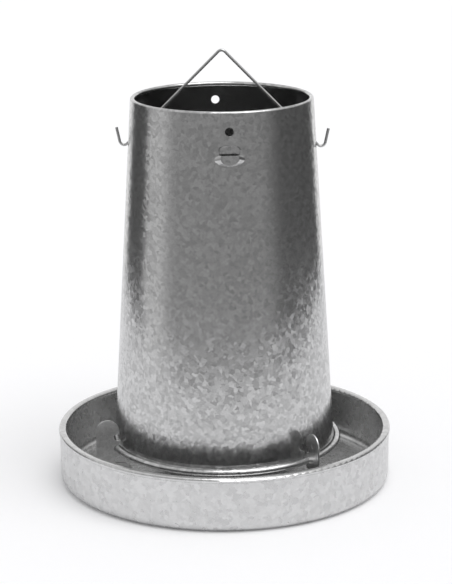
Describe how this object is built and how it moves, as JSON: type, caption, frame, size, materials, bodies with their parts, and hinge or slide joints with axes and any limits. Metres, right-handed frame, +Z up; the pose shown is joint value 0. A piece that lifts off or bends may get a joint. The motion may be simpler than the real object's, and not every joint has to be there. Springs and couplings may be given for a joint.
{
  "type": "hanging poultry feeder",
  "caption": "Hanging poultry feeder of galvanised sheet: a conical feed hopper held in notched brackets over a round trough pan, with a hinged wire bail to hang it by.",
  "frame": {"origin": "centre of the pan's underside, on the surface it stands on", "axes": "+Z up along the hopper's axis; +X through the bail's holes; the hanging holes and pressed lugs face -Y (front) and +Y"},
  "size_m": [0.36, 0.36, 0.4679],
  "materials": {
    "pan_sheet": "smooth galvanised sheet, softly glossy, with faint drawn lines",
    "hopper_sheet": "hot-dip galvanised sheet with mottled spangle",
    "wire": "bright galvanised wire",
    "bracket_sheet": "matt galvanised plate with bright cut edges",
    "rivet_steel": "zinc-plated steel"
  },
  "bodies": {
    "feeder": {"pan": "pan_sheet", "hopper": "hopper_sheet", "bracket_1": "bracket_sheet", "bracket_2": "bracket_sheet", "bracket_3": "bracket_sheet", "rivet_1": "rivet_steel", "rivet_2": "rivet_steel", "rivet_3": "rivet_steel", "rivet_4": "rivet_steel", "rivet_5": "rivet_steel", "rivet_6": "rivet_steel"},
    "bail": {"bail": "wire"}
  },
  "joints": [
    {"name": "bail_swing", "type": "hinge", "parent": "feeder", "child": "bail", "pos_m": [0, 0, 0.3689], "axis": [1, 0, 0], "range_deg": [-70, 70]}
  ]
}
